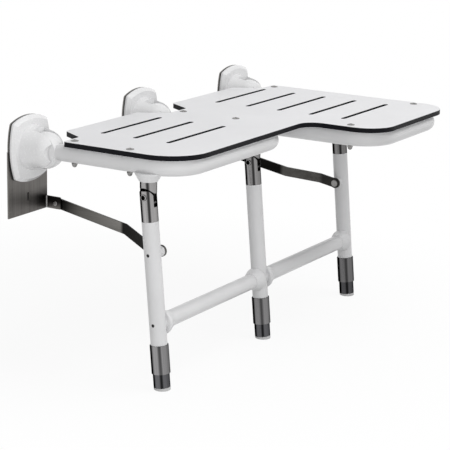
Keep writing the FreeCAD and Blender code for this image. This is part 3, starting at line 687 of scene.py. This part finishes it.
def strut_finish(colour):
    """Mill finished bar with painted reflections and shade, whose straight and bent parts get
    different tones on each side.
    """
    material = brushed_finish("strut_steel", colour, 0.36, (700.0, 14.0, 700.0), contrast=0.16)
    links = material.node_tree.links
    outwards = object_part(material, "Y")
    along = ranged(material, outwards, 0.0, 1.0, start=0.0, end=-STRUT_REACH)
    right_side = ranged(material, object_part(material, "X"), 0.0, 1.0, start=-0.01, end=0.01)
    tones = material.node_tree.nodes.new("ShaderNodeMix")
    tones.data_type = "RGBA"
    links.new(right_side, tones.inputs["Factor"])
    links.new(tone_ramp(material, along, LEFT_STRUT_PAINTED_TONES), tones.inputs["A"])
    links.new(tone_ramp(material, along, RIGHT_STRUT_PAINTED_TONES), tones.inputs["B"])
    darkened(material, tones.outputs["Result"])
    return material


def wall_plate_finish(colour):
    """Brushed sheet with the dark reflection of the lug beside the slot."""
    material = brushed_finish("plate_steel", colour, 0.36, (900.0, 900.0, 11.0), contrast=0.16)
    nodes = material.node_tree.nodes
    links = material.node_tree.links
    shadow_top = PLATE_FOOT + LUG_SHADOW_HEIGHT
    upwards = object_part(material, "Z")
    height = ranged(material, upwards, 0.0, 1.0, start=PLATE_FOOT, end=shadow_top)
    band = tone_ramp(material, height, LUG_SHADOW_TONES)
    side = nodes.new("ShaderNodeMath")
    side.operation = "ABSOLUTE"
    links.new(object_part(material, "X"), side.inputs[0])
    lug_side, slot_side = LUG_SHADOW_SIDES
    across = ranged(material, side.outputs["Value"], 1.0, 0.0, start=lug_side, end=slot_side)
    share = tone_ramp(material, across, ((0.0, 0.0), (0.30, 0.15), (0.75, 0.9), (1.0, 1.0)))
    mix = nodes.new("ShaderNodeMix")
    mix.data_type = "RGBA"
    mix.blend_type = "MULTIPLY"
    base = shader_of(material).inputs["Base Color"].links[0].from_socket
    links.new(share, mix.inputs["Factor"])
    links.new(base, mix.inputs["A"])
    links.new(band, mix.inputs["B"])
    set_colour(material, mix.outputs["Result"])
    return material


def plain_plastic_finish(name, colour, roughness):
    """Moulded plastic with a fine grain."""
    material = new_finish(name, colour, roughness)
    grain = stretched_noise(material, (800.0, 800.0, 800.0), detail=3.0)
    clouds = stretched_noise(material, (60.0, 60.0, 60.0), detail=3.0)
    set_colour(material, shaded(material, clouds, toned(colour, 0.93), toned(colour, 1.04)))
    set_roughness(material, ranged(material, grain, roughness - 0.08, roughness + 0.08))
    added_bump(material, grain, 0.00004, 0.4)
    return material


def make_finishes(colours):
    """One material for each slot, and for the steel parts that look different."""
    return {
        "laminate_white": laminate_face_finish(colours.laminate),
        "laminate_core": laminate_core_finish(colours.laminate_core),
        "white_coat": powder_coat_finish(colours.powder_coat),
        "white_cover": cover_finish(colours.cover),
        "plate_steel": wall_plate_finish(colours.plate_steel),
        "polished_steel": brushed_finish(
            "polished_steel", colours.polished_steel, 0.25, (400.0, 400.0, 400.0), contrast=0.15
        ),
        "knuckle_steel": knuckle_finish("knuckle_steel", colours.knuckle),
        "tongue_steel": knuckle_finish("tongue_steel", colours.knuckle, gap_shade=True),
        "sleeve_steel": reflection_banded_finish(
            "sleeve_steel", colours.sleeve, 0.25, leg_reflection_bands(line=0.25, edge=0.02), FOOT_SIDEWAYS_SHADE
        ),
        "foot_steel": reflection_banded_finish(
            "foot_steel", colours.foot, 0.22, leg_reflection_bands(line=0.1, edge=0.04), FOOT_SIDEWAYS_SHADE
        ),
        "bolt_steel": bolt_finish(colours.knuckle),
        "rivet_steel": brushed_finish(
            "rivet_steel", colours.polished_steel, 0.30, (500.0, 500.0, 500.0), contrast=0.15
        ),
        "strut_steel": strut_finish(colours.strut_steel),
        "bracket_steel": brushed_finish(
            "bracket_steel", colours.bracket_steel, 0.42, (500.0, 500.0, 60.0)
        ),
        "bush_plastic": plain_plastic_finish("bush_plastic", colours.bush, 0.5),
        "tip_plastic": plain_plastic_finish("tip_plastic", colours.foot_tip, 0.55),
    }


def slot_of_node(node_name):
    """Material slot that the record gives a CAD node."""
    for subpart in frame["record"]["subparts"]:
        if subpart["node"] == node_name:
            return subpart["material_slot"]
    raise ValueError(f"no material slot for {node_name}")


def body_of_node(node_name):
    """Body that a CAD node moves with."""
    for body, members in frame["record"]["behaviour"]["bodies"].items():
        if node_name in members:
            return body
    raise ValueError(f"no body for {node_name}")


def finish_named(name):
    """A finish that has been made already."""
    material = bpy.data.materials.get(f"{name}_finish")
    if material is None:
        raise ValueError(f"the finish {name} has not been made")
    return material


# Nodes that look different from the rest of their slot
NODE_FINISHES = {
    "hinge_knuckle": "white_cover",
    "leg_fork": "knuckle_steel",
    "leg_tongue": "tongue_steel",
    "foot_sleeve": "sleeve_steel",
    "foot_insert": "foot_steel",
    "leg_hinge_bolts": "bolt_steel",
    "strut_pins": "rivet_steel",
}


def finish_of_node(node_name):
    """Name of the finish of a CAD node: its own where it has one, else that of its slot."""
    for start, finish in NODE_FINISHES.items():
        if node_name.startswith(start):
            return finish
    return slot_of_node(node_name)


# Pieces


def add_piece(name, shape, slot_name, body, sharp_angle=32.0, weighted=False, finish=None):
    """Turns a bmesh into a piece that rides on a body, with the finish given, else that of its
    slot.
    """
    mesh = bpy.data.meshes.new(name)
    shape.to_mesh(mesh)
    shape.free()
    mesh.materials.append(finish_named(finish or slot_name))
    mesh.shade_smooth()
    mesh.set_sharp_from_angle(angle=math.radians(sharp_angle))
    piece = bpy.data.objects.new(name, mesh)
    bpy.context.scene.collection.objects.link(piece)
    if weighted:
        normals = piece.modifiers.new("even_normals", "WEIGHTED_NORMAL")
        normals.keep_sharp = True
        normals.weight = 80
    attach(piece, body)
    return piece


def rounded_copy(node_name, piece_name, width, segments=2, sharp=28.0):
    """Copy of a CAD node with its sharp edges rounded, which stands for the node."""
    shape = bmesh.new()
    shape.from_mesh(frame["nodes"][node_name].data)
    bmesh.ops.remove_doubles(shape, verts=shape.verts, dist=0.00001)
    bmesh.ops.dissolve_limit(
        shape, angle_limit=math.radians(0.5), verts=shape.verts, edges=shape.edges
    )
    corners = [
        edge
        for edge in shape.edges
        if len(edge.link_faces) == 2 and edge.calc_face_angle(0.0) > math.radians(sharp)
    ]
    bmesh.ops.bevel(
        shape,
        geom=corners,
        offset=width,
        offset_type="OFFSET",
        segments=segments,
        profile=0.5,
        affect="EDGES",
        clamp_overlap=True,
        material=-1,
    )
    piece = add_piece(
        piece_name,
        shape,
        slot_of_node(node_name),
        body_of_node(node_name),
        sharp_angle=50.0,
        weighted=True,
        finish=finish_of_node(node_name),
    )
    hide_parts(node_name)
    return piece


class SEAT_OT_make_finishes(Operator):
    """Makes the finishes and gives each CAD node its own"""

    bl_idname = "wall_seat.make_finishes"
    bl_label = "Make finishes"

    def execute(self, context):
        finishes = make_finishes(context.scene.seat_colours)
        for node_name, node in frame["nodes"].items():
            finish = finishes[finish_of_node(node_name)]
            node.data.materials.clear()
            node.data.materials.append(finish)
        return {"FINISHED"}


class SEAT_OT_make_covers(Operator):
    """Makes the hinge covers with soft cast edges"""

    bl_idname = "wall_seat.make_covers"
    bl_label = "Make hinge covers"

    def execute(self, context):
        width = context.scene.seat_sizes.cover_rounding
        for side in SIDES:
            rounded_copy(f"hinge_cover_{side}", f"cover_{side}", width, segments=3)
        return {"FINISHED"}


class SEAT_OT_make_steel(Operator):
    """Makes the steel knuckles, plates and struts with broken edges"""

    bl_idname = "wall_seat.make_steel"
    bl_label = "Make steel parts"

    def execute(self, context):
        sizes = context.scene.seat_sizes
        for side in SIDES:
            rounded_copy(f"leg_fork_{side}", f"knuckle_fork_{side}", sizes.ear_rounding)
            rounded_copy(f"leg_tongue_{side}", f"knuckle_tongue_{side}", sizes.steel_rounding)
            rounded_copy(f"foot_insert_{side}", f"foot_tube_{side}", sizes.sheet_rounding)
        for side in OUTER_SIDES:
            rounded_copy(f"wall_plate_{side}", f"back_plate_{side}", sizes.sheet_rounding)
            rounded_copy(f"strut_bar_{side}", f"strut_{side}", sizes.steel_rounding)
        return {"FINISHED"}


def screw_shape(sizes, x, y, top):
    """Low round head with a hexagon socket, turned about its own axis."""
    radius = sizes.screw_head_diameter / 2
    height = sizes.screw_head_height
    shape = bmesh.new()
    bmesh.ops.create_circle(shape, cap_ends=True, segments=48, radius=radius)
    base = shape.faces[:]
    rim = bmesh.ops.extrude_face_region(shape, geom=base)
    moved = [item for item in rim["geom"] if isinstance(item, bmesh.types.BMVert)]
    bmesh.ops.translate(shape, verts=moved, vec=(0.0, 0.0, height * SCREW_SIDE_RISE))
    crown = [item for item in rim["geom"] if isinstance(item, bmesh.types.BMFace)]
    width = radius
    for share, rise in SCREW_RINGS:
        bmesh.ops.inset_region(shape, faces=crown, thickness=width - radius * share)
        verts = {vert for face in crown for vert in face.verts}
        bmesh.ops.translate(shape, verts=list(verts), vec=(0.0, 0.0, height * rise))
        width = radius * share
    bmesh.ops.inset_region(shape, faces=crown, thickness=width - sizes.screw_socket / 2)
    verts = {vert for face in crown for vert in face.verts}
    socket = sizes.screw_socket / 2
    for vert in verts:
        angle = math.atan2(vert.co.y, vert.co.x) % (math.pi / 3) - math.pi / 6
        reach = socket * math.cos(math.pi / 6) / math.cos(angle)
        flat = Vector((vert.co.x, vert.co.y, 0.0)).normalized() * reach
        vert.co.x = flat.x
        vert.co.y = flat.y
    bmesh.ops.inset_region(shape, faces=crown, thickness=0.00008)
    verts = {vert for face in crown for vert in face.verts}
    bmesh.ops.translate(shape, verts=list(verts), vec=(0.0, 0.0, -height * SCREW_SOCKET_DEPTH))
    # Faces in the socket and on the far side of the crown get the dark second material as painted
    # shade
    far_side = Vector(SCREW_SHADE_SIDE).normalized()
    for face in shape.faces:
        centre = face.calc_center_median()
        flat = Vector((centre.x, centre.y))
        in_painted_shade = flat.dot(far_side) > radius * SCREW_SHADE_START
        in_socket = flat.length < socket * 1.02
        if in_socket or (in_painted_shade and flat.length > socket * 1.1):
            face.material_index = 1
    bmesh.ops.translate(shape, verts=shape.verts, vec=(x, y, top))
    bmesh.ops.recalc_face_normals(shape, faces=shape.faces)
    return shape


class SEAT_OT_make_screws(Operator):
    """Makes the panel screws with socket heads"""

    bl_idname = "wall_seat.make_screws"
    bl_label = "Make panel screws"

    def execute(self, context):
        sizes = context.scene.seat_sizes
        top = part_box("panel_top_face")[1].z
        for index, (x, y) in enumerate(SCREW_PLACES, 1):
            shape = screw_shape(sizes, x, y, top)
            head = add_piece(f"panel_screw_{index}", shape, "polished_steel", "seat", 40.0)
            # The dark bracket steel is the painted shade in the socket and on the far side of each
            # head
            head.data.materials.append(finish_named("bracket_steel"))
        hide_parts("panel_screws")
        return {"FINISHED"}


def turned_ring(radius, bead, centre, axis_turn, segments=64):
    """Ring of round section about a centre, made by spinning a small circle."""
    shape = bmesh.new()
    section = bmesh.ops.create_circle(shape, segments=10, radius=bead)
    bmesh.ops.rotate(
        shape, verts=section["verts"], cent=(0, 0, 0), matrix=Matrix.Rotation(math.pi / 2, 3, "X")
    )
    bmesh.ops.translate(shape, verts=section["verts"], vec=(radius, 0.0, 0.0))
    bmesh.ops.spin(
        shape,
        geom=shape.verts[:] + shape.edges[:],
        cent=(0, 0, 0),
        axis=(0, 0, 1),
        angle=math.tau,
        steps=segments,
        use_merge=True,
    )
    bmesh.ops.transform(
        shape, verts=shape.verts, matrix=Matrix.Translation(centre) @ axis_turn.to_4x4()
    )
    bmesh.ops.recalc_face_normals(shape, faces=shape.faces)
    return shape


class SEAT_OT_make_weld_beads(Operator):
    """Makes the weld beads at the crossbar cones"""

    bl_idname = "wall_seat.make_weld_beads"
    bl_label = "Make weld beads"

    def execute(self, context):
        bead = context.scene.seat_sizes.weld_bead
        turn = Matrix.Rotation(math.pi / 2, 3, "Y")
        places = ((-HINGE_SPACING, 1), (0.0, -1), (0.0, 1), (HINGE_SPACING, -1))
        for index, (x, side) in enumerate(places, 1):
            centre = Vector((x + side * COLLAR_END, CROSSBAR.y, CROSSBAR.z))
            shape = turned_ring(WELD_RING_RADIUS, bead, centre, turn)
            add_piece(f"crossbar_bead_{index}", shape, "white_coat", "legs")
        return {"FINISHED"}


class SEAT_OT_make_slot_shade_blocks(Operator):
    """Makes the dark blocks behind the slots of the wall plates, which paint the shade inside the
    slots
    """

    bl_idname = "wall_seat.make_slot_seals"
    bl_label = "Make slot seals"

    def execute(self, context):
        for side, x in zip(OUTER_SIDES, (-HINGE_SPACING, HINGE_SPACING)):
            # A dark block stands where there is only shade inside the slot
            shape = bmesh.new()
            bmesh.ops.create_cube(shape, size=1.0)
            bmesh.ops.scale(shape, vec=SLOT_SHADE_BLOCK_SIZE, verts=shape.verts)
            place = (x, -SLOT_SHADE_BLOCK_SIZE[1] / 2, PLATE_FOOT + SLOT_RISE)
            bmesh.ops.translate(shape, vec=place, verts=shape.verts)
            add_piece(f"slot_shade_block_{side}", shape, "bracket_steel", "wall")
        return {"FINISHED"}


def corner_strip(radius, low, high, steps=6):
    """Strip with a hollow face that fills an inner corner at the origin, from low to high."""
    shape = bmesh.new()
    corner = shape.verts.new((0.0, 0.0, low))
    arc_start = shape.verts.new((-radius, 0.0, low))
    spun = bmesh.ops.spin(
        shape,
        geom=[arc_start],
        cent=(-radius, -radius, low),
        axis=(0, 0, 1),
        angle=-math.pi / 2,
        steps=steps,
    )
    arc_end = spun["geom_last"][0]
    bmesh.ops.contextual_create(shape, geom=[corner, arc_start])
    bmesh.ops.contextual_create(shape, geom=[corner, arc_end])
    filled = bmesh.ops.edgeloop_fill(shape, edges=shape.edges[:])
    result = bmesh.ops.extrude_face_region(shape, geom=filled["faces"])
    moved = [item for item in result["geom"] if isinstance(item, bmesh.types.BMVert)]
    bmesh.ops.translate(shape, verts=moved, vec=(0.0, 0.0, high - low))
    return shape


class SEAT_OT_make_lug_bends(Operator):
    """Makes the bright bends where the lugs leave the wall plates"""

    bl_idname = "wall_seat.make_lug_bends"
    bl_label = "Make lug bends"

    def execute(self, context):
        radius = context.scene.seat_sizes.lug_bend
        low = PLATE_FOOT + LUG_BEND_GAP
        high = PLATE_FOOT + LUG_HEIGHT - LUG_BEND_GAP
        for side, sign in zip(OUTER_SIDES, (1, -1)):
            shape = corner_strip(radius, low, high)
            bmesh.ops.scale(shape, vec=(sign, 1.0, 1.0), verts=shape.verts)
            place = (sign * (LUG_CORNER[0] - HINGE_SPACING), LUG_CORNER[1], 0.0)
            bmesh.ops.translate(shape, vec=place, verts=shape.verts)
            bmesh.ops.recalc_face_normals(shape, faces=shape.faces)
            add_piece(f"lug_bend_{side}", shape, "polished_steel", "wall")
        return {"FINISHED"}


class SEAT_OT_make_feet(Operator):
    """Makes the foot tips with a rounded edge"""

    bl_idname = "wall_seat.make_feet"
    bl_label = "Make foot tips"

    def execute(self, context):
        width = context.scene.seat_sizes.tip_rounding
        for side in SIDES:
            rounded_copy(f"foot_tip_{side}", f"foot_cap_{side}", width, segments=3)
        return {"FINISHED"}


# Studio


def rays_that_look(tree):
    """1 where the camera, a reflection or a view through a clear part looks, else 0."""
    path = tree.nodes.new("ShaderNodeLightPath")
    seen = path.outputs["Is Camera Ray"]
    for other in ("Is Glossy Ray", "Is Transmission Ray"):
        either = tree.nodes.new("ShaderNodeMath")
        either.operation = "MAXIMUM"
        tree.links.new(seen, either.inputs[0])
        tree.links.new(path.outputs[other], either.inputs[1])
        seen = either.outputs["Value"]
    return seen


def floor_material():
    """White that keeps a soft shadow near the seat and is even white further out."""
    material = bpy.data.materials.new("floor_white")
    material.use_nodes = True
    tree = material.node_tree
    tree.nodes.clear()
    output = tree.nodes.new("ShaderNodeOutputMaterial")
    even_white = tree.nodes.new("ShaderNodeEmission")
    even_white.inputs["Color"].default_value = (1.0, 1.0, 1.0, 1.0)
    shadowed = tree.nodes.new("ShaderNodeBsdfDiffuse")
    shadowed.inputs["Color"].default_value = (0.8, 0.8, 0.8, 1.0)
    lighting = tree.nodes.new("ShaderNodeBsdfDiffuse")
    lighting.inputs["Color"].default_value = (0.7, 0.7, 0.7, 1.0)
    coordinates = tree.nodes.new("ShaderNodeTexCoord")
    distance = tree.nodes.new("ShaderNodeVectorMath")
    distance.operation = "LENGTH"
    fade = tree.nodes.new("ShaderNodeMapRange")
    fade.interpolation_type = "SMOOTHSTEP"
    fade.inputs["From Min"].default_value = FLOOR_FADE[0]
    fade.inputs["From Max"].default_value = FLOOR_FADE[1]
    fade.inputs["To Min"].default_value = FLOOR_WHITE_SHARE
    fade.inputs["To Max"].default_value = 1.0
    seen = tree.nodes.new("ShaderNodeMixShader")
    both = tree.nodes.new("ShaderNodeMixShader")
    tree.links.new(coordinates.outputs["Object"], distance.inputs[0])
    tree.links.new(distance.outputs["Value"], fade.inputs["Value"])
    tree.links.new(fade.outputs["Result"], seen.inputs["Fac"])
    tree.links.new(shadowed.outputs["BSDF"], seen.inputs[1])
    tree.links.new(even_white.outputs["Emission"], seen.inputs[2])
    tree.links.new(rays_that_look(tree), both.inputs["Fac"])
    tree.links.new(lighting.outputs["BSDF"], both.inputs[1])
    tree.links.new(seen.outputs["Shader"], both.inputs[2])
    tree.links.new(both.outputs["Shader"], output.inputs["Surface"])
    return material


def set_world(strength):
    """Even light from all sides, and plain white where the camera or a reflection sees it."""
    world = bpy.data.worlds.new("studio")
    bpy.context.scene.world = world
    world.use_nodes = True
    tree = world.node_tree
    tree.nodes.clear()
    output = tree.nodes.new("ShaderNodeOutputWorld")
    light = tree.nodes.new("ShaderNodeBackground")
    light.inputs["Color"].default_value = (1.0, 1.0, 1.0, 1.0)
    light.inputs["Strength"].default_value = strength
    white = tree.nodes.new("ShaderNodeBackground")
    white.inputs["Color"].default_value = (1.0, 1.0, 1.0, 1.0)
    mix = tree.nodes.new("ShaderNodeMixShader")
    tree.links.new(rays_that_look(tree), mix.inputs["Fac"])
    tree.links.new(light.outputs["Background"], mix.inputs[1])
    tree.links.new(white.outputs["Background"], mix.inputs[2])
    tree.links.new(mix.outputs["Shader"], output.inputs["Surface"])


def add_soft_lamp(name, place, target, size, power):
    """Square lamp that points at a target and shows in no reflection."""
    lamp = bpy.data.lights.new(name, "AREA")
    lamp.shape = "SQUARE"
    lamp.size = size
    lamp.energy = power
    holder = bpy.data.objects.new(name, lamp)
    holder.location = place
    holder.rotation_mode = "QUATERNION"
    holder.rotation_quaternion = (Vector(target) - Vector(place)).to_track_quat("-Z", "Y")
    holder.visible_glossy = False
    bpy.context.scene.collection.objects.link(holder)
    return holder


def add_camera(studio):
    """Camera that stands where the photo was taken from."""
    turn, fall, roll = studio.camera_turn, studio.camera_fall, studio.camera_roll
    sight = Vector(
        (-math.sin(turn) * math.cos(fall), math.cos(turn) * math.cos(fall), -math.sin(fall))
    )
    right = sight.cross(Vector((0.0, 0.0, 1.0))).normalized()
    up = right.cross(sight)
    rolled_right = right * math.cos(roll) + up * math.sin(roll)
    rolled_up = up * math.cos(roll) - right * math.sin(roll)
    camera = bpy.data.cameras.new("photo_camera")
    camera.sensor_width = 36.0
    camera.lens = studio.lens
    camera.clip_start = 0.05
    camera.clip_end = 60.0
    holder = bpy.data.objects.new("photo_camera", camera)
    rotation = Matrix((rolled_right, rolled_up, -sight)).transposed()
    holder.matrix_world = Matrix.Translation(studio.camera_place) @ rotation.to_4x4()
    bpy.context.scene.collection.objects.link(holder)
    bpy.context.scene.camera = holder


class SEAT_OT_set_stage(Operator):
    """Sets the floor, the lights, the white surroundings and the camera"""

    bl_idname = "wall_seat.set_stage"
    bl_label = "Set stage"

    def execute(self, context):
        studio = context.scene.seat_studio
        shape = bmesh.new()
        bmesh.ops.create_grid(shape, x_segments=1, y_segments=1, size=FLOOR_REACH)
        floor_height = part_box("foot_tip_left")[0].z
        bmesh.ops.translate(shape, verts=shape.verts, vec=(0.0, 0.0, floor_height))
        mesh = bpy.data.meshes.new("floor")
        shape.to_mesh(mesh)
        shape.free()
        mesh.materials.append(floor_material())
        floor = bpy.data.objects.new("floor", mesh)
        context.scene.collection.objects.link(floor)
        set_world(studio.sky_light)
        add_soft_lamp("key_lamp", *KEY_LAMP, studio.key_light)
        add_soft_lamp("front_lamp", *FRONT_LAMP, studio.fill_light)
        add_soft_lamp("side_lamp", *SIDE_LAMP, studio.side_light)
        add_camera(studio)
        context.scene.view_settings.view_transform = "Standard"
        return {"FINISHED"}


class SEAT_PT_pieces(Panel):
    """Lists the steps that build the seat"""

    bl_idname = "SEAT_PT_pieces"
    bl_label = "Fold Down Wall Seat"
    bl_space_type = "VIEW_3D"
    bl_region_type = "UI"
    bl_category = "Wall Seat"

    def draw(self, context):
        layout = self.layout
        for operator in OPERATORS:
            layout.operator(operator.bl_idname)
        for group in ("seat_sizes", "seat_colours", "seat_studio"):
            column = layout.column()
            settings = getattr(context.scene, group)
            for name in settings.__annotations__:
                column.prop(settings, name)


OPERATORS = (
    SEAT_OT_make_finishes,
    SEAT_OT_make_covers,
    SEAT_OT_make_steel,
    SEAT_OT_make_screws,
    SEAT_OT_make_weld_beads,
    SEAT_OT_make_slot_shade_blocks,
    SEAT_OT_make_lug_bends,
    SEAT_OT_make_feet,
    SEAT_OT_set_stage,
)
CLASSES = (SeatSizes, SeatColours, SeatStudio, *OPERATORS, SEAT_PT_pieces)


def register():
    for each in CLASSES:
        bpy.utils.register_class(each)
    bpy.types.Scene.seat_sizes = PointerProperty(type=SeatSizes)
    bpy.types.Scene.seat_colours = PointerProperty(type=SeatColours)
    bpy.types.Scene.seat_studio = PointerProperty(type=SeatStudio)


def unregister():
    del bpy.types.Scene.seat_studio
    del bpy.types.Scene.seat_colours
    del bpy.types.Scene.seat_sizes
    for each in reversed(CLASSES):
        bpy.utils.unregister_class(each)


def main():
    register()
    bpy.ops.wall_seat.make_finishes()
    bpy.ops.wall_seat.make_covers()
    bpy.ops.wall_seat.make_steel()
    bpy.ops.wall_seat.make_screws()
    bpy.ops.wall_seat.make_weld_beads()
    bpy.ops.wall_seat.make_slot_seals()
    bpy.ops.wall_seat.make_lug_bends()
    bpy.ops.wall_seat.make_feet()
    bpy.ops.wall_seat.set_stage()


if __name__ == "__main__":
    main()
